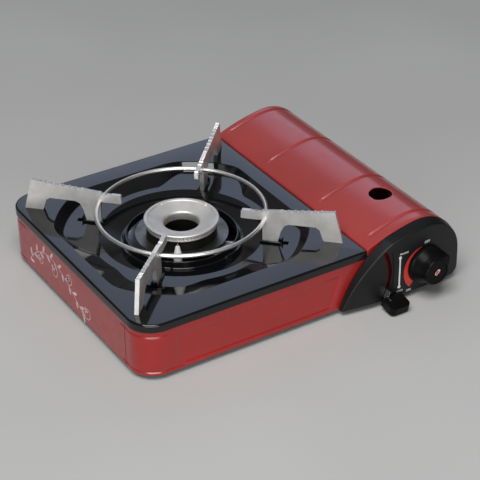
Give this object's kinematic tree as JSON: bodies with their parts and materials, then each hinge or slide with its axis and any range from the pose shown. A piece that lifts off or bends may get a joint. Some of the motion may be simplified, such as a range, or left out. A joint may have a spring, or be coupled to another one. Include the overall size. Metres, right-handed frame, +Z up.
{
  "type": "butane cassette stove",
  "caption": "Low tabletop gas stove with a pressed cooking deck, pan support, round burner, knob and a hinged lid over the cartridge bay.",
  "frame": {"origin": "on the table, under the middle of the bounding box", "axes": "+Z up, +X to the user's right (towards the cartridge bay), -Y towards the user (the control panel's side)"},
  "size_m": [0.3482, 0.303, 0.0934],
  "materials": {
    "red_paint": "gloss",
    "black_enamel": "gloss",
    "black_plastic": "satin",
    "galvanised": "satin",
    "plated_steel": "satin",
    "bright_steel": "bright",
    "dark_casting": "matte",
    "cap_alloy": "satin",
    "zinc_alloy": "cast",
    "brass": "satin",
    "black_rubber": "matte",
    "white_ceramic": "glazed",
    "white_plastic": "matte",
    "red_plastic": "gloss",
    "blue_plastic": "matte",
    "lead_sleeve": "satin"
  },
  "bodies": {
    "root": {"base_pan": "galvanised", "side_wall": "red_paint", "front_wall": "red_paint", "rear_wall": "red_paint", "top_plate": "black_enamel", "partition": "galvanised", "burner_body": "dark_casting", "flame_ring": "cap_alloy", "burner_cap": "cap_alloy", "burner_flange": "bright_steel", "burner_bracket": "galvanised", "mixing_tube": "galvanised", "air_shutter": "bright_steel", "gas_nozzle": "brass", "gas_pipe": "brass", "regulator_body": "zinc_alloy", "regulator_cover": "bright_steel", "regulator_screws": "bright_steel", "cartridge_inlet": "brass", "inlet_seal": "black_rubber", "collar_guide": "bright_steel", "piezo_igniter": "blue_plastic", "igniter_lead": "lead_sleeve", "electrode_ceramic": "white_ceramic", "electrode_wire": "bright_steel", "electrode_bracket": "galvanised", "control_panel": "black_plastic", "panel_screws": "bright_steel", "lever_stud": "bright_steel", "lever_clip": "brass", "cartridge_cradle": "galvanised", "base_hinge_leaves": "bright_steel", "hinge_pins": "bright_steel", "foot_front_left": "black_rubber", "foot_front_right": "black_rubber", "foot_rear_left": "black_rubber", "foot_rear_right": "black_rubber"},
    "lid": {"lid": "red_paint", "lid_hinge_leaves": "bright_steel"},
    "knob": {"knob": "black_plastic", "knob_insert": "red_plastic", "valve_spindle": "brass", "ignition_cam": "white_plastic"},
    "lever": {"lever_arm": "bright_steel", "lever_cap": "black_plastic", "lever_crank": "zinc_alloy"},
    "slide": {"cartridge_slide": "bright_steel"},
    "trivet": {"trivet_ring": "plated_steel", "trivet_arm_front": "plated_steel", "trivet_arm_right": "plated_steel", "trivet_arm_rear": "plated_steel", "trivet_arm_left": "plated_steel"}
  },
  "joints": [
    {"name": "lid_hinge", "type": "hinge", "parent": "root", "child": "lid", "pos_m": [0.1719, 0.01947, 0.0194], "axis": [0, 1, 0], "range_deg": [0, 100]},
    {"name": "knob_turn", "type": "hinge", "parent": "root", "child": "knob", "pos_m": [0.1283, -0.11853, 0.033], "axis": [0, -1, 0], "range_deg": [0, 135]},
    {"name": "lever_swing", "type": "hinge", "parent": "root", "child": "lever", "pos_m": [0.0394, -0.11378, 0.0345], "axis": [0, -1, 0], "range_deg": [0, 50]},
    {"name": "cartridge_slide", "type": "slide", "parent": "root", "child": "slide", "axis": [0, 1, 0], "range_m": [0, 0.009]},
    {"name": "trivet_lift", "type": "slide", "parent": "root", "child": "trivet", "axis": [0, 0, 1], "range_m": [0, 0.06]}
  ],
  "couplings": [
    {"joint": "cartridge_slide", "follows": "lever_swing", "m_per_rad": 0.010313}
  ]
}
